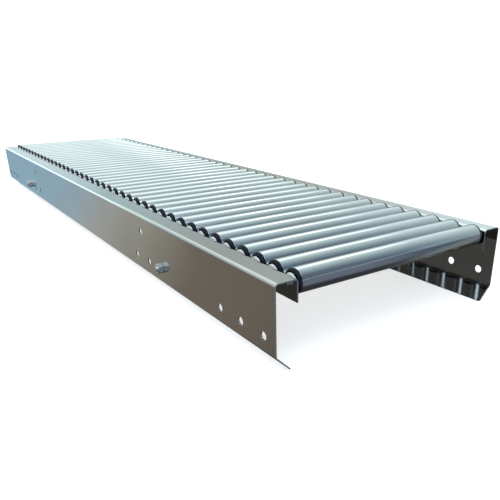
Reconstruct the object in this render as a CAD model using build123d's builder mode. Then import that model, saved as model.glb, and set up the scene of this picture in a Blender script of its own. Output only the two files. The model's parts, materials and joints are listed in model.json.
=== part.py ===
from build123d import *
from math import cos, radians, sin
import os

os.makedirs("parts", exist_ok=True)

# Rollers, in millimetres
roller_count = 41
roller_pitch = 60
tube_diameter = 50.8
tube_length = 520
cap_projection = 5.5
side_gap = 12

# Hexagonal axles
axle_flats = 11
axle_projection = 7
axle_drop = 15.4
axle_hole_clearance = 0.25
running_clearance = 0.3

# Folded side frames
end_margin = 28
sheet = 3
bend_inner_radius = 5
flange_width = 53
lip_depth = 48
web_height = 150
foot_slant = 50
foot_angle = 45
foot_corner_radius = 6

# Bolt holes in the webs
bolt_hole_diameter = 18
bolt_hole_spacing = 84
first_hole_from_end = 40
end_group_count = 3
middle_group_count = 2
middle_group_start = 552
lower_row_height = 33
upper_hole_depth = 44

# Tie rods, their nuts, and the spacer tubes between the webs
tie_rod_x = 720
tie_rod_rise = 6
tie_rod_diameter = 16
tie_rod_stub = 3
spacer_diameter = 33.7
spacer_wall = 2.6
nut_flats = 24
nut_height = 14.8
thread_clearance = 0.1

# Positions that follow from the sizes above
frame_length = 2 * end_margin + (roller_count - 1) * roller_pitch
frame_width = tube_length + 2 * side_gap + 2 * flange_width
foot_run = foot_slant * cos(radians(foot_angle))
foot_rise = foot_slant * sin(radians(foot_angle))
top_height = foot_rise + web_height
axle_height = top_height - axle_drop
lower_row_z = foot_rise + lower_row_height
upper_row_z = top_height - upper_hole_depth
web_face = frame_width / 2
lip_face = web_face - flange_width
roller_x = [frame_length / 2 - end_margin - roller_pitch * index for index in range(roller_count)]
axle_points = [(x, axle_height) for x in roller_x]

end_group_x = [frame_length / 2 - first_hole_from_end - bolt_hole_spacing * index for index in range(end_group_count)]
middle_group_x = [middle_group_start + bolt_hole_spacing * index for index in range(middle_group_count)]
upper_hole_x = (middle_group_x[0] + middle_group_x[-1]) / 2
tie_rod_points = [(sign * tie_rod_x, lower_row_z + tie_rod_rise) for sign in (-1, 1)]
web_holes = [(sign * x, lower_row_z) for x in end_group_x + middle_group_x for sign in (-1, 1)]
web_holes += [(sign * upper_hole_x, upper_row_z) for sign in (-1, 1)]
web_holes += tie_rod_points

# Left side frame: lip, top flange, web and slanted foot folded from one sheet
with BuildPart() as left_side_frame:
    with BuildSketch(Plane.YZ.offset(-frame_length / 2)):
        with BuildLine():
            FilletPolyline(
                (-lip_face, top_height - lip_depth),
                (-lip_face, top_height),
                (-web_face, top_height),
                (-web_face, foot_rise),
                (-web_face + foot_run, 0),
                radius=bend_inner_radius + sheet,
            )
            offset(amount=sheet, side=Side.LEFT)
        make_face()
    extrude(amount=frame_length)
    foot_corners = left_side_frame.edges().filter_by(Axis((0, 0, 0), (0, foot_rise, foot_run)))
    fillet(foot_corners, radius=foot_corner_radius)
    with BuildSketch(Plane.XZ.offset(web_face)):
        with Locations(*web_holes):
            Circle(bolt_hole_diameter / 2)
    extrude(amount=-sheet, mode=Mode.SUBTRACT)
    with BuildSketch(Plane.XZ.offset(lip_face)):
        with Locations(*axle_points):
            RegularPolygon(axle_flats / 2 + axle_hole_clearance, 6, major_radius=False, rotation=30)
    extrude(amount=sheet, mode=Mode.SUBTRACT)
left_side_frame.part.label = "left_side_frame"
export_step(left_side_frame.part, "parts/left_side_frame.step")

# Right side frame: the same profile mirrored about the middle of the bed
with BuildPart() as right_side_frame:
    mirror(left_side_frame.part, about=Plane.XZ)
right_side_frame.part.label = "right_side_frame"
export_step(right_side_frame.part, "parts/right_side_frame.step")

# Axles: hexagonal bars held in the lips, one for each roller
with BuildPart() as roller_axles:
    with BuildSketch(Plane.XZ):
        with Locations(*axle_points):
            RegularPolygon(axle_flats / 2, 6, major_radius=False, rotation=30)
    extrude(amount=lip_face + sheet + axle_projection, both=True)
roller_axles.part.label = "roller_axles"
export_step(roller_axles.part, "parts/roller_axles.step")

# Rollers: a tube with its end caps, on a hexagonal bore whose flats clear the axle's corners
bore_flats = axle_flats / cos(radians(30)) + 2 * running_clearance
for index, x in enumerate(roller_x):
    name = f"roller_{index + 1:02d}"
    with BuildPart() as roller:
        with BuildSketch(Plane.XZ):
            with Locations((x, axle_height)):
                Circle(tube_diameter / 2)
                RegularPolygon(bore_flats / 2, 6, major_radius=False, mode=Mode.SUBTRACT)
        extrude(amount=tube_length / 2 + cap_projection, both=True)
    roller.part.label = name
    export_step(roller.part, f"parts/{name}.step")

# Tie rods: threaded bars that pull the webs against the spacer tubes
with BuildPart() as tie_rods:
    with BuildSketch(Plane.XZ):
        with Locations(*tie_rod_points):
            Circle(tie_rod_diameter / 2)
    extrude(amount=web_face + nut_height + tie_rod_stub, both=True)
tie_rods.part.label = "tie_rods"
export_step(tie_rods.part, "parts/tie_rods.step")

# Spacer tubes between the inner faces of the webs
with BuildPart() as spacer_tubes:
    with BuildSketch(Plane.XZ):
        with Locations(*tie_rod_points):
            Circle(spacer_diameter / 2)
            Circle(spacer_diameter / 2 - spacer_wall, mode=Mode.SUBTRACT)
    extrude(amount=web_face - sheet, both=True)
spacer_tubes.part.label = "spacer_tubes"
export_step(spacer_tubes.part, "parts/spacer_tubes.step")

# Nuts on the outer faces of both webs
with BuildPart() as tie_rod_nuts:
    for sign in (-1, 1):
        with BuildSketch(Plane.XZ.offset(sign * web_face)):
            with Locations(*tie_rod_points):
                RegularPolygon(nut_flats / 2, 6, major_radius=False)
                Circle(tie_rod_diameter / 2 + thread_clearance, mode=Mode.SUBTRACT)
        extrude(amount=sign * nut_height)
tie_rod_nuts.part.label = "tie_rod_nuts"
export_step(tie_rod_nuts.part, "parts/tie_rod_nuts.step")
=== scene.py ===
import bpy
import bmesh
import json
from math import cos, pi, radians, sin
from mathutils import Matrix, Vector

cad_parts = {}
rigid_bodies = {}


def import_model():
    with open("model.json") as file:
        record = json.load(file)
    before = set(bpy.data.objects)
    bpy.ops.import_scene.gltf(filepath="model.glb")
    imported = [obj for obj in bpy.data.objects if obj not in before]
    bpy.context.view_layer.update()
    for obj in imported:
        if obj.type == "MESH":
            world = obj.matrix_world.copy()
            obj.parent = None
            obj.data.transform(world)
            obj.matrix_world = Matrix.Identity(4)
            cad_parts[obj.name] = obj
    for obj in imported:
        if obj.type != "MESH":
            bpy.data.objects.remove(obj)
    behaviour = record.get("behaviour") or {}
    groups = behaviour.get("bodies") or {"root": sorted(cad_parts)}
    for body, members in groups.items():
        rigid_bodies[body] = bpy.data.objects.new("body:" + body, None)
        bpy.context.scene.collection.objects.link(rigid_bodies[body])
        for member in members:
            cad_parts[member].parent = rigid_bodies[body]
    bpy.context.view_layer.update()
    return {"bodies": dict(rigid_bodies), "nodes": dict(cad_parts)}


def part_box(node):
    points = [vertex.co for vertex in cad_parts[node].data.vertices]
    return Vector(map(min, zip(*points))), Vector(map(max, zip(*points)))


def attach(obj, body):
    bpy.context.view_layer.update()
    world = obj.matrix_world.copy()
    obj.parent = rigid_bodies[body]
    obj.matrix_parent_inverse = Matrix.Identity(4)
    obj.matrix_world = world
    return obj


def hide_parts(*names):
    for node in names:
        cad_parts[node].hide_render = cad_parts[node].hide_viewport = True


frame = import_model()

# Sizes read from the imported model, in metres
LEFT_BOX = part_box("left_side_frame")
HALF_LENGTH = (LEFT_BOX[1][0] - LEFT_BOX[0][0]) / 2
WEB_Y = -LEFT_BOX[0][1]
LIP_Y = -LEFT_BOX[1][1]
TOP_Z = LEFT_BOX[1][2]
ROLLERS = sorted(name for name in frame["bodies"] if name.startswith("roller_"))
ROLLER_X = [(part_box(name)[0][0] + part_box(name)[1][0]) / 2 for name in ROLLERS]
ROLLER_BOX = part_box(ROLLERS[0])
TUBE_R = (ROLLER_BOX[1][2] - ROLLER_BOX[0][2]) / 2
AXLE_Z = (ROLLER_BOX[1][2] + ROLLER_BOX[0][2]) / 2
CAP_END = ROLLER_BOX[1][1]
ROD_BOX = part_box("tie_rods")
ROD_Z = (ROD_BOX[0][2] + ROD_BOX[1][2]) / 2
ROD_R = (ROD_BOX[1][2] - ROD_BOX[0][2]) / 2
ROD_X = ROD_BOX[1][0] - ROD_R
ROD_END = ROD_BOX[1][1]
NUT_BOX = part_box("tie_rod_nuts")
NUT_HEIGHT = NUT_BOX[1][1] - WEB_Y
NUT_FLATS = (NUT_BOX[1][2] - NUT_BOX[0][2]) / 2

# Sizes that the boxes don't give: the folded sheet
SHEET = 0.003
LIP_DEPTH = 0.048
BEND = 0.008
BEND_STEPS = 10
FOOT_SLANT = 0.05
FOOT_ANGLE = 45
FOOT = FOOT_SLANT * sin(radians(FOOT_ANGLE))
FOOT_CORNER_R = 0.006
EDGE_ROUNDING = 0.0004

# Holes in the webs and the lips
HOLE_R = 0.009
HOLE_SIDES = 40
AXLE_HOLE_HALF_FLATS = 0.00575
AXLE_HOLE_R = AXLE_HOLE_HALF_FLATS / cos(radians(30))
HOLE_SPACING = 0.084
FIRST_HOLE_FROM_END = 0.04
LOWER_ROW_HEIGHT = 0.033
UPPER_HOLE_DEPTH = 0.044
LOWER_Z = FOOT + LOWER_ROW_HEIGHT
UPPER_Z = TOP_Z - UPPER_HOLE_DEPTH
END_HOLES = [(HALF_LENGTH - FIRST_HOLE_FROM_END - HOLE_SPACING * i, LOWER_Z) for i in range(3)]
MIDDLE_HOLES = [(0.552, LOWER_Z), (0.636, LOWER_Z), (0.594, UPPER_Z)]
WEB_HOLES = END_HOLES + MIDDLE_HOLES + [(ROD_X, ROD_Z)]
WEB_CUT = 0.01
LIP_CUT_INSIDE = 0.008
LIP_CUT_OUTSIDE = 0.005

# Rollers
CAP_PROJECTION = 0.0055
TUBE_END = CAP_END - CAP_PROJECTION
TUBE_WALL = 0.0015
CAP_SOCKET_R = TUBE_R - TUBE_WALL - 0.0001
CAP_RIM_R = TUBE_R - 0.0001
TUBE_SEGMENTS = 96
RING_SEGMENTS = 64

# Thread and nuts
THREAD_PITCH = 0.002
THREAD_LEAD = 0.004
ROD_SEGMENTS = 40
NUT_SEGMENTS = 48
NUT_CHAMFER = 0.0016
NUT_FACE_R = NUT_FLATS * 0.985

# Studio
STUDIO_R = 20.0
FLOOR_Z = -0.0002
SHADE_Z = -0.0001
SHADE_CORNERS = ((-1.2, -0.28), (1.2, -0.28), (1.2, 0.28), (-1.2, 0.28))


def obj_from(bm, name, mat):
    mesh = bpy.data.meshes.new(name)
    bmesh.ops.recalc_face_normals(bm, faces=bm.faces[:])
    bm.to_mesh(mesh)
    bm.free()
    mesh.materials.append(mat)
    obj = bpy.data.objects.new(name, mesh)
    bpy.context.scene.collection.objects.link(obj)
    return obj


def smooth(obj, angle):
    """Smooth shading with sharp edges where faces meet at more than the angle."""
    mesh = obj.data
    bm = bmesh.new()
    bm.from_mesh(mesh)
    limit = radians(angle)
    for edge in bm.edges:
        edge.smooth = len(edge.link_faces) == 2 and edge.calc_face_angle(pi) < limit
    for face in bm.faces:
        face.smooth = True
    bm.to_mesh(mesh)
    bm.free()


def join_rings(bm, rings, spans):
    """Faces between each ring and the next, round to the first again."""
    count = len(rings[0])
    for here, there in zip(rings, rings[1:] + rings[:1]):
        for k in range(spans):
            m = (k + 1) % count
            bm.faces.new((here[k], there[k], there[m], here[m]))


def lathe(bm, profile, segments, closed=True):
    """Turns a profile of (y, radius) points round the Y axis."""
    rings = []
    for i in range(segments):
        a = 2 * pi * i / segments
        rings.append([bm.verts.new((r * sin(a), y, r * cos(a))) for y, r in profile])
    join_rings(bm, rings, len(profile) if closed else len(profile) - 1)


def mirrored(profile):
    return [(-y, r) for y, r in profile]


def both_halves(half):
    """A profile from end to end, from its half that starts at the middle."""
    return mirrored(half[::-1]) + half[1:]


# Node materials
def material(name):
    mat = bpy.data.materials.new(name)
    mat.use_nodes = True
    nodes = mat.node_tree.nodes
    nodes.clear()
    out = nodes.new("ShaderNodeOutputMaterial")
    shader = nodes.new("ShaderNodeBsdfPrincipled")
    mat.node_tree.links.new(shader.outputs["BSDF"], out.inputs["Surface"])
    return mat, nodes, mat.node_tree.links, shader


def noise(nodes, links, scale, stretch, detail):
    """Object-space noise, stretched by a mapping."""
    coord = nodes.new("ShaderNodeTexCoord")
    mapping = nodes.new("ShaderNodeMapping")
    mapping.inputs["Scale"].default_value = stretch
    tex = nodes.new("ShaderNodeTexNoise")
    tex.inputs["Scale"].default_value = scale
    tex.inputs["Detail"].default_value = detail
    tex.inputs["Roughness"].default_value = 0.55
    links.new(coord.outputs["Object"], mapping.inputs["Vector"])
    links.new(mapping.outputs["Vector"], tex.inputs["Vector"])
    return tex.outputs["Fac"]


def ramp(nodes, links, source, stops):
    """Colour ramp over a value; stops are (place, colour)."""
    node = nodes.new("ShaderNodeValToRGB")
    while len(node.color_ramp.elements) < len(stops):
        node.color_ramp.elements.new(0.5)
    for element, (place, colour) in zip(node.color_ramp.elements, stops):
        element.position = place
        element.color = (*colour, 1.0)
    links.new(source, node.inputs["Fac"])
    return node.outputs["Color"]


def spread(nodes, links, source, low, high):
    """Maps the middle half of a noise to a range."""
    node = nodes.new("ShaderNodeMapRange")
    limits = (("From Min", 0.25), ("From Max", 0.75), ("To Min", low), ("To Max", high))
    for name, value in limits:
        node.inputs[name].default_value = value
    links.new(source, node.inputs["Value"])
    return node.outputs["Result"]


def bump(nodes, links, source, normal, strength, distance):
    """A bump into a shader's or another bump's normal; gives back its own normal input."""
    node = nodes.new("ShaderNodeBump")
    node.inputs["Strength"].default_value = strength
    node.inputs["Distance"].default_value = distance
    links.new(source, node.inputs["Height"])
    links.new(node.outputs["Normal"], normal)
    return node.inputs["Normal"]


def sheet_steel():
    """Fine-ground stainless sheet: grain along the length, clouding and slight waves."""
    mat, nodes, links, shader = material("ground_sheet_steel")
    shader.inputs["Metallic"].default_value = 1.0
    stains = noise(nodes, links, 5.0, (0.3, 1.0, 1.0), 3.0)
    tones = [(0.25, (0.47, 0.475, 0.47)), (0.55, (0.53, 0.53, 0.525)), (0.8, (0.56, 0.555, 0.54))]
    links.new(ramp(nodes, links, stains, tones), shader.inputs["Base Color"])
    grain = noise(nodes, links, 1400.0, (0.02, 1.0, 1.0), 2.0)
    links.new(spread(nodes, links, grain, 0.05, 0.10), shader.inputs["Roughness"])
    under_grain = bump(nodes, links, grain, shader.inputs["Normal"], 0.05, 0.0001)
    waves = noise(nodes, links, 7.0, (0.5, 1.0, 0.7), 1.0)
    bump(nodes, links, waves, under_grain, 0.8, 0.004)
    return mat


def tube_steel():
    """Bright tube: drawing lines along the axis and a faint clouding of the surface."""
    mat, nodes, links, shader = material("bright_tube_steel")
    shader.inputs["Metallic"].default_value = 1.0
    cloud = noise(nodes, links, 9.0, (1.0, 0.5, 1.0), 2.0)
    tones = [(0.3, (0.54, 0.56, 0.565)), (0.7, (0.60, 0.615, 0.62))]
    links.new(ramp(nodes, links, cloud, tones), shader.inputs["Base Color"])
    grain = noise(nodes, links, 900.0, (1.0, 0.01, 1.0), 2.0)
    links.new(spread(nodes, links, grain, 0.12, 0.17), shader.inputs["Roughness"])
    bump(nodes, links, grain, shader.inputs["Normal"], 0.03, 0.00005)
    return mat


def clouded(name, tones, rough, cloud, relief, metallic=0.0, gloss=0.5):
    """One noise (scale, stretch, detail) that carries colour, roughness and a fine relief."""
    mat, nodes, links, shader = material(name)
    shader.inputs["Metallic"].default_value = metallic
    shader.inputs["Specular IOR Level"].default_value = gloss
    value = noise(nodes, links, *cloud)
    stops = list(zip((0.3, 0.7), tones))
    links.new(ramp(nodes, links, value, stops), shader.inputs["Base Color"])
    links.new(spread(nodes, links, value, *rough), shader.inputs["Roughness"])
    bump(nodes, links, value, shader.inputs["Normal"], *relief)
    return mat


def bar_steel(name, tones, rough, stretch):
    return clouded(name, tones, rough, (60.0, stretch, 4.0), (0.1, 0.0002), metallic=1.0)


def moulded(name, tones, rough, gloss):
    return clouded(name, tones, rough, (220.0, (1, 1, 1), 3.0), (0.15, 0.0001), gloss=gloss)


SHEET_STEEL = sheet_steel()
TUBE_STEEL = tube_steel()
AXLE_STEEL = bar_steel(
    "drawn_bar_steel", ((0.42, 0.42, 0.42), (0.56, 0.56, 0.55)), (0.3, 0.45), (1.0, 0.1, 1.0))
SPACER_STEEL = bar_steel(
    "plain_tube_steel", ((0.36, 0.37, 0.38), (0.48, 0.49, 0.5)), (0.35, 0.5), (1.0, 0.2, 1.0))
NUT_STEEL = bar_steel(
    "plated_fastener_steel", ((0.55, 0.56, 0.58), (0.72, 0.73, 0.75)), (0.14, 0.24), (1.0, 1.0, 1.0))
BLACK_CAP = moulded(
    "black_cap_polymer", ((0.005, 0.007, 0.012), (0.009, 0.012, 0.019)), (0.14, 0.24), 0.12)
GREY_HUB = moulded(
    "light_grey_hub_polymer", ((0.45, 0.475, 0.475), (0.53, 0.55, 0.55)), (0.35, 0.5), 0.5)


# Side frames
def arc(cy, cz, r, start, end, steps):
    angles = [radians(start + (end - start) * i / steps) for i in range(steps + 1)]
    return [(cy + r * cos(a), cz + r * sin(a)) for a in angles]


def channel_profile():
    """Cross-section as (distance out from the middle of the bed, z): outer face, then inner."""
    half_angle = radians(FOOT_ANGLE / 2)
    tangent = BEND * sin(half_angle) / cos(half_angle)
    faces = []
    for depth in (0.0, SHEET):
        r = BEND - depth
        tip = depth * cos(radians(FOOT_ANGLE))
        face = [(LIP_Y + depth, TOP_Z - LIP_DEPTH)]
        face += arc(LIP_Y + BEND, TOP_Z - BEND, r, 180, 90, BEND_STEPS)
        face += arc(WEB_Y - BEND, TOP_Z - BEND, r, 90, 0, BEND_STEPS)
        face += arc(WEB_Y - BEND, FOOT + tangent, r, 0, -FOOT_ANGLE, BEND_STEPS // 2)
        face += [(WEB_Y - FOOT - tip, tip)]
        faces.append(face)
    return faces[0] + faces[1][::-1]


def folded_sheet(side):
    """The profile along X, with capped ends and the foot's two corners rounded."""
    bm = bmesh.new()
    profile = channel_profile()
    ends = [[bm.verts.new((x, side * y, z)) for y, z in profile] for x in (-HALF_LENGTH, HALF_LENGTH)]
    count = len(profile)
    for i in range(count):
        j = (i + 1) % count
        bm.faces.new((ends[0][i], ends[0][j], ends[1][j], ends[1][i]))
    half = count // 2
    for ring in ends:
        for i in range(half - 1):
            bm.faces.new((ring[i], ring[i + 1], ring[count - 2 - i], ring[count - 1 - i]))
    tips = [bm.edges.get((ring[half - 1], ring[half])) for ring in ends]
    bmesh.ops.bevel(bm, geom=tips, offset=FOOT_CORNER_R, segments=6, profile=0.5,
                    affect="EDGES", clamp_overlap=False)
    return bm


def prism(bm, x, z, ends, r, count, turn=0.0):
    """A prism along Y from end to end, for cutting a hole."""
    angles = [turn + 2 * pi * i / count for i in range(count)]
    rings = [[bm.verts.new((x + r * cos(a), y, z + r * sin(a))) for a in angles] for y in ends]
    bm.faces.new(rings[0])
    bm.faces.new(rings[1][::-1])
    for i in range(count):
        j = (i + 1) % count
        bm.faces.new((rings[0][j], rings[0][i], rings[1][i], rings[1][j]))


def hole_cutter(side):
    """All bolt holes of a web and all axle holes of its lip."""
    bm = bmesh.new()
    through_web = (side * (WEB_Y + WEB_CUT), side * (WEB_Y - WEB_CUT))
    through_lip = (side * (LIP_Y + LIP_CUT_INSIDE), side * (LIP_Y - LIP_CUT_OUTSIDE))
    for x, z in WEB_HOLES:
        for sign in (-1, 1):
            prism(bm, sign * x, z, through_web, HOLE_R, HOLE_SIDES)
    for x in ROLLER_X:
        prism(bm, x, AXLE_Z, through_lip, AXLE_HOLE_R, 6, radians(30))
    return bm


def side_frame(name, side):
    channel = obj_from(folded_sheet(side), name, SHEET_STEEL)
    cutter = obj_from(hole_cutter(side), name + "_cutter", SHEET_STEEL)
    cut = channel.modifiers.new("holes", "BOOLEAN")
    cut.object = cutter
    cut.operation = "DIFFERENCE"
    cut.solver = "EXACT"
    bpy.context.view_layer.update()
    graph = bpy.context.evaluated_depsgraph_get()
    mesh = bpy.data.meshes.new_from_object(channel.evaluated_get(graph))
    channel.modifiers.clear()
    channel.data = mesh
    bpy.data.objects.remove(cutter)
    smooth(channel, 25)
    edge = channel.modifiers.new("edges", "BEVEL")
    edge.width = EDGE_ROUNDING
    edge.segments = 2
    edge.limit_method = "ANGLE"
    edge.angle_limit = radians(50)
    edge.harden_normals = False
    weigh = channel.modifiers.new("normals", "WEIGHTED_NORMAL")
    weigh.keep_sharp = True
    return channel


for node, side in (("left_side_frame", -1), ("right_side_frame", 1)):
    piece = side_frame(node.replace("frame", "channel"), side)
    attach(piece, "frame")
    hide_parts(node)


# Rollers: tube, black end caps, and the light grey hubs that stay on the axle
def tube_mesh():
    bm = bmesh.new()
    end, r, bore, c = TUBE_END, TUBE_R, TUBE_R - TUBE_WALL, EDGE_ROUNDING
    half = [(0.0, r), (end - c, r), (end - 0.3 * c, r - 0.3 * c), (end, r - c), (end, bore)]
    lathe(bm, both_halves(half) + [(0.0, bore)], TUBE_SEGMENTS)
    return bm


# A cap as (distance beyond the tube's end, radius), from its rim to its recess and inner boss
CAP_PROFILE = [
    (-0.0060, CAP_SOCKET_R), (0.0001, CAP_SOCKET_R), (0.0001, TUBE_R - 0.0005),
    (0.0004, CAP_RIM_R), (0.0042, CAP_RIM_R), (0.0047, TUBE_R - 0.0004),
    (0.0051, TUBE_R - 0.0011), (0.0054, TUBE_R - 0.0024), (0.0055, TUBE_R - 0.0040),
    (0.0055, TUBE_R - 0.0058), (0.0053, TUBE_R - 0.0064), (0.0022, TUBE_R - 0.0072),
    (0.0018, TUBE_R - 0.0078), (0.0018, 0.0128), (0.0022, 0.0122), (0.0036, 0.0118),
    (0.0038, 0.0114), (-0.0060, 0.0114),
]
# A hub as (y, radius), from inside the cap to just short of the lip
HUB_PROFILE = [
    (CAP_END - 0.0060, 0.0066), (CAP_END - 0.0060, 0.0109), (CAP_END + 0.0004, 0.0109),
    (CAP_END + 0.0007, 0.0152), (CAP_END + 0.0012, 0.0164), (CAP_END + 0.0021, 0.0172),
    (CAP_END + 0.0032, 0.0175), (CAP_END + 0.0044, 0.0174), (LIP_Y - 0.0008, 0.0170),
    (LIP_Y - 0.0003, 0.0163), (LIP_Y - 0.0001, 0.0155), (LIP_Y - 0.0001, 0.0066),
]


def end_rings(profile):
    """The same ring at both ends of a roller."""
    bm = bmesh.new()
    lathe(bm, profile, RING_SEGMENTS)
    lathe(bm, mirrored(profile), RING_SEGMENTS)
    return bm


tube_data = obj_from(tube_mesh(), "tube_shape", TUBE_STEEL)
cap_profile = [(TUBE_END + y, r) for y, r in CAP_PROFILE]
cap_data = obj_from(end_rings(cap_profile), "cap_shape", BLACK_CAP)
hub_data = obj_from(end_rings(HUB_PROFILE), "hub_shape", GREY_HUB)
kinds = (
    ("tube", tube_data, "roller"),
    ("end_caps", cap_data, "end_cap"),
    ("hubs", hub_data, "bearing_hub"),
)
for _, shape, _ in kinds:
    smooth(shape, 35)

for index, name in enumerate(ROLLERS):
    place = Matrix.Translation((ROLLER_X[index], 0.0, AXLE_Z))
    for word, shape, slot in kinds:
        body = "frame" if word == "hubs" else name
        piece = bpy.data.objects.new(f"{word}_{index + 1:02d}", shape.data)
        bpy.context.scene.collection.objects.link(piece)
        piece.matrix_world = place
        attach(piece, body)
        if word == "tube":
            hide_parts(name)
for _, shape, _ in kinds:
    bpy.data.objects.remove(shape)

# CAD nodes that stay, with their own materials
for node, mat in (("roller_axles", AXLE_STEEL), ("spacer_tubes", SPACER_STEEL)):
    for slot in frame["nodes"][node].material_slots:
        slot.material = mat


# Tie rods with threaded ends, and chamfered nuts
def tie_rod():
    bm = bmesh.new()
    bar, root, crest = ROD_R - 0.0002, ROD_R - 0.0009, ROD_R - 0.0001
    start = WEB_Y - THREAD_LEAD
    half = [(0.0, bar), (start, bar)]
    y = start + 0.0005
    while y + THREAD_PITCH < ROD_END - 0.0015:
        half += [(y, root), (y + 0.4 * THREAD_PITCH, crest), (y + 0.6 * THREAD_PITCH, crest)]
        y += THREAD_PITCH
    half += [(y, root), (ROD_END - 0.0008, root), (ROD_END, root - 0.0009), (ROD_END, 0.0)]
    lathe(bm, both_halves(half), ROD_SEGMENTS, closed=False)
    bmesh.ops.remove_doubles(bm, verts=bm.verts[:], dist=1e-6)
    return bm


def nut(bm, x, side):
    """Hexagon nut with both faces chamfered to its flats."""
    corner = NUT_FLATS / cos(radians(30))
    top = WEB_Y + NUT_HEIGHT
    seat = WEB_Y + 0.0002
    bore = ROD_R + 0.0001
    mouth = bore + 0.0007
    edge = 0.0004
    rings = []
    for i in range(NUT_SEGMENTS):
        a = 2 * pi * i / NUT_SEGMENTS
        from_flat = (a + pi / 6) % (pi / 3) - pi / 6
        radius = NUT_FLATS / cos(from_flat)
        drop = NUT_CHAMFER * ((radius - NUT_FLATS) / (corner - NUT_FLATS))
        points = [(seat, mouth), (seat, NUT_FACE_R), (WEB_Y + edge + drop, radius),
                  (top - edge - drop, radius), (top, NUT_FACE_R), (top, mouth),
                  (top - 0.0008, bore), (WEB_Y + 0.001, bore)]
        rings.append([bm.verts.new((x + r * cos(a), side * y, ROD_Z + r * sin(a))) for y, r in points])
    join_rings(bm, rings, len(rings[0]))


rods_bm = bmesh.new()
for sign in (-1, 1):
    rod = tie_rod()
    rod.transform(Matrix.Translation((sign * ROD_X, 0.0, ROD_Z)))
    mesh = bpy.data.meshes.new("tie_rod_part")
    rod.to_mesh(mesh)
    rod.free()
    rods_bm.from_mesh(mesh)
    bpy.data.meshes.remove(mesh)
rods = obj_from(rods_bm, "threaded_tie_rods", NUT_STEEL)
smooth(rods, 20)
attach(rods, "frame")
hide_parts("tie_rods")

nuts_bm = bmesh.new()
for x in (-ROD_X, ROD_X):
    for side in (-1, 1):
        nut(nuts_bm, x, side)
nuts = obj_from(nuts_bm, "hexagon_nuts", NUT_STEEL)
smooth(nuts, 20)
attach(nuts, "frame")
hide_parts("tie_rod_nuts")


# Floor and backdrop, plain and pale; the metal mirrors the studio round them instead
def floor_material():
    mat, nodes, links, shader = material("pale_floor")
    cloud = noise(nodes, links, 1.5, (1, 1, 1), 3.0)
    tones = [(0.3, (0.60, 0.60, 0.60)), (0.7, (0.62, 0.62, 0.62))]
    links.new(ramp(nodes, links, cloud, tones), shader.inputs["Base Color"])
    shader.inputs["Roughness"].default_value = 0.9
    shader.inputs["Specular IOR Level"].default_value = 0.1
    shader.inputs["Emission Color"].default_value = (1.0, 1.0, 1.0, 1.0)
    shader.inputs["Emission Strength"].default_value = 0.7
    return mat


def backdrop_material():
    mat, _, _, shader = material("pale_backdrop")
    shader.inputs["Base Color"].default_value = (0.0, 0.0, 0.0, 1.0)
    shader.inputs["Emission Color"].default_value = (1.0, 1.0, 1.0, 1.0)
    shader.inputs["Emission Strength"].default_value = 1.05
    return mat


def shade_material():
    mat, nodes, links, shader = material("painted_floor_shadow")
    cloud = noise(nodes, links, 3.0, (1, 1, 1), 3.0)
    # Painted shadow: dim emission colours with a slight random tone, for the shade under the bed
    tones = [(0.3, (0.078, 0.076, 0.070)), (0.7, (0.092, 0.090, 0.084))]
    shader.inputs["Base Color"].default_value = (0.0, 0.0, 0.0, 1.0)
    shader.inputs["Specular IOR Level"].default_value = 0.0
    links.new(ramp(nodes, links, cloud, tones), shader.inputs["Emission Color"])
    shader.inputs["Emission Strength"].default_value = 1.0
    return mat


floor_bm = bmesh.new()
bmesh.ops.create_circle(floor_bm, cap_ends=True, radius=STUDIO_R, segments=96,
                        matrix=Matrix.Translation((0.0, 0.0, FLOOR_Z)))
floor = obj_from(floor_bm, "floor", floor_material())
floor.visible_glossy = False

# Painted shadow: a dim glowing sheet under the bed stands in for the floor's shade there, and only the
# metal mirrors it
shade_bm = bmesh.new()
shade_bm.faces.new([shade_bm.verts.new((x, y, SHADE_Z)) for x, y in SHADE_CORNERS])
shade = obj_from(shade_bm, "shade", shade_material())
shade.visible_camera = False
shade.visible_diffuse = False
shade.visible_shadow = False
shade.visible_transmission = False

backdrop_bm = bmesh.new()
bmesh.ops.create_uvsphere(backdrop_bm, u_segments=96, v_segments=48, radius=STUDIO_R)
backdrop = obj_from(backdrop_bm, "backdrop", backdrop_material())
backdrop.visible_glossy = False
backdrop.visible_diffuse = False
backdrop.visible_shadow = False
backdrop.visible_transmission = False

# Broad, even light from above that leaves no highlight on the metal
sun = bpy.data.lights.new("overhead", "SUN")
sun.energy = 2.2
sun.angle = radians(100)
overhead = bpy.data.objects.new("overhead", sun)
bpy.context.scene.collection.objects.link(overhead)
overhead.rotation_euler = Vector((-0.2, -0.1, 1.0)).to_track_quat("Z", "Y").to_euler()
overhead.visible_glossy = False

# What the metal mirrors above and below the horizon: (how far a direction points along -X, colour)
SKY = [
    (-1.0, (0.15, 0.20, 0.25)), (-0.64, (0.16, 0.22, 0.28)), (-0.54, (0.25, 0.35, 0.42)),
    (-0.37, (0.34, 0.45, 0.50)), (-0.15, (0.50, 0.63, 0.66)), (0.07, (0.66, 0.82, 0.84)),
    (0.3, (0.80, 0.97, 1.00)), (0.5, (0.97, 1.15, 1.18)), (0.56, (1.00, 1.20, 1.22)),
    (0.63, (0.85, 1.00, 1.03)), (0.72, (0.62, 0.68, 0.66)), (0.85, (0.50, 0.56, 0.54)),
    (0.94, (0.53, 0.70, 0.73)), (0.965, (0.72, 0.92, 0.98)), (1.0, (0.76, 0.96, 1.04)),
]
GROUND = [
    (-1.0, (0.15, 0.19, 0.24)), (-0.66, (0.12, 0.16, 0.21)), (0.0, (0.08, 0.09, 0.10)),
    (0.57, (0.08, 0.08, 0.07)), (0.77, (0.23, 0.20, 0.165)), (0.85, (0.24, 0.21, 0.175)),
    (0.90, (0.40, 0.39, 0.33)), (0.93, (0.50, 0.50, 0.47)), (0.96, (0.39, 0.58, 0.70)),
    (0.98, (0.33, 0.52, 0.64)), (1.0, (0.38, 0.56, 0.67)),
]
HORIZON_BLEND = 0.06
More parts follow.
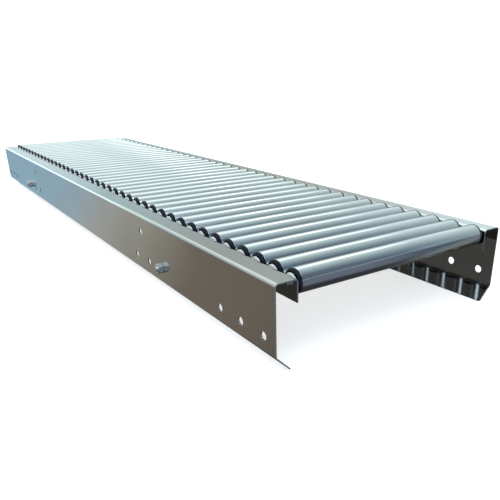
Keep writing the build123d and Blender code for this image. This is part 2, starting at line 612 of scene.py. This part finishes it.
# Ground that lies steeply below: where it begins to take over and where it has, and its colour
STEEP_HEIGHTS = (-0.45, -0.75)
STEEP_GROUND = (0.05, 0.05, 0.055)
# Thin strip of light above the horizon, beyond the near end: its heights, where it begins, its colour
STRIP_FOOT, STRIP_MIDDLE, STRIP_TOP = 0.11, 0.19, 0.27
STRIP_ACROSS = (0.3, 0.6)
STRIP_LIGHT = (0.26, 0.30, 0.34)
# Soft windows: direction, cosine where the edge starts and where it ends, colour
WINDOWS = [
    ((-0.70, 0.15, 0.70), 0.865, 0.935, (0.58, 0.63, 0.62)),
    ((-0.54, 0.58, 0.61), 0.965, 0.990, (0.72, 0.76, 0.76)),
    ((-0.85, -0.33, 0.42), 0.93, 0.98, (0.22, 0.28, 0.28)),
    ((-0.965, -0.16, 0.17), 0.975, 0.990, (0.75, 0.85, 0.85)),
    ((0.93, -0.35, 0.05), 0.955, 0.985, (0.80, 0.95, 1.10)),
    ((0.45, -0.34, 0.82), 0.90, 0.96, (1.80, 2.10, 2.40)),
    ((-0.56, 0.66, -0.50), 0.94, 0.99, (0.16, 0.16, 0.15)),
    ((0.0, 0.94, -0.33), 0.86, 0.96, (0.16, 0.17, 0.17)),
    ((0.80, 0.45, -0.35), 0.86, 0.96, (0.05, 0.05, 0.06)),
    ((0.76, -0.52, -0.35), 0.80, 0.95, (0.16, 0.16, 0.16)),
    ((0.10, -0.94, -0.33), 0.88, 0.97, (0.15, 0.15, 0.14)),
]


def studio_world():
    """A soft room: bright beyond the far end, dim past the near end, dark ground, broad windows."""
    world = bpy.data.worlds.new("studio")
    world.use_nodes = True
    nodes, links = world.node_tree.nodes, world.node_tree.links
    coord = nodes.new("ShaderNodeTexCoord")
    split = nodes.new("ShaderNodeSeparateXYZ")
    links.new(coord.outputs["Generated"], split.inputs["Vector"])
    across, up = split.outputs["X"], split.outputs["Z"]

    def fade(source, low, high, kind="SMOOTHSTEP"):
        node = nodes.new("ShaderNodeMapRange")
        node.interpolation_type = kind
        node.inputs["From Min"].default_value = low
        node.inputs["From Max"].default_value = high
        links.new(source, node.inputs["Value"])
        return node.outputs["Result"]

    def mix(kind, factor, first, second):
        node = nodes.new("ShaderNodeMix")
        node.data_type = "RGBA"
        node.blend_type = kind
        links.new(factor, node.inputs["Factor"])
        # Inputs 6 and 7 and output 2 are the ones for colours
        for value, socket in ((first, node.inputs[6]), (second, node.inputs[7])):
            if isinstance(value, tuple):
                socket.default_value = (*value, 1.0)
            else:
                links.new(value, socket)
        return node.outputs[2]

    def times(first, second):
        node = nodes.new("ShaderNodeMath")
        node.operation = "MULTIPLY"
        links.new(first, node.inputs[0])
        links.new(second, node.inputs[1])
        return node.outputs["Value"]

    def tones(table):
        stops = [((cosine + 1) / 2, colour) for cosine, colour in table]
        return ramp(nodes, links, place, stops)

    place = fade(across, 1.0, -1.0, "LINEAR")
    sky, ground = tones(SKY), tones(GROUND)
    ground = mix("MIX", fade(up, *STEEP_HEIGHTS), ground, STEEP_GROUND)
    colour = mix("MIX", fade(up, -HORIZON_BLEND, HORIZON_BLEND), ground, sky)
    strip = times(fade(up, STRIP_FOOT, STRIP_MIDDLE), fade(up, STRIP_TOP, STRIP_MIDDLE))
    colour = mix("ADD", times(strip, fade(across, *STRIP_ACROSS)), colour, STRIP_LIGHT)
    for direction, low, high, light in WINDOWS:
        facing = nodes.new("ShaderNodeVectorMath")
        facing.operation = "DOT_PRODUCT"
        facing.inputs[1].default_value = Vector(direction).normalized()
        links.new(coord.outputs["Generated"], facing.inputs[0])
        colour = mix("ADD", fade(facing.outputs["Value"], low, high), colour, light)
    links.new(colour, nodes["Background"].inputs["Color"])
    return world


bpy.context.scene.world = studio_world()

# Camera at the photograph's place: frame size, focal length and optical centre are in pixels
FRAME_PIXELS = 500.0
FOCAL_PIXELS = 548.756
CENTRE_PIXELS = (278.998, 305.648)
camera_data = bpy.data.cameras.new("camera")
camera = bpy.data.objects.new("camera", camera_data)
bpy.context.scene.collection.objects.link(camera)
camera.location = (1.97711, -0.8335, 0.5323)
camera.rotation_euler = (1.16647, 0.01003, 0.96191)
camera_data.sensor_fit = "HORIZONTAL"
camera_data.sensor_width = 36.0
camera_data.lens = camera_data.sensor_width * FOCAL_PIXELS / FRAME_PIXELS
camera_data.shift_x = (FRAME_PIXELS / 2 - CENTRE_PIXELS[0]) / FRAME_PIXELS
camera_data.shift_y = (CENTRE_PIXELS[1] - FRAME_PIXELS / 2) / FRAME_PIXELS
camera_data.clip_end = 200.0
bpy.context.scene.camera = camera
bpy.context.scene.view_settings.view_transform = "Standard"
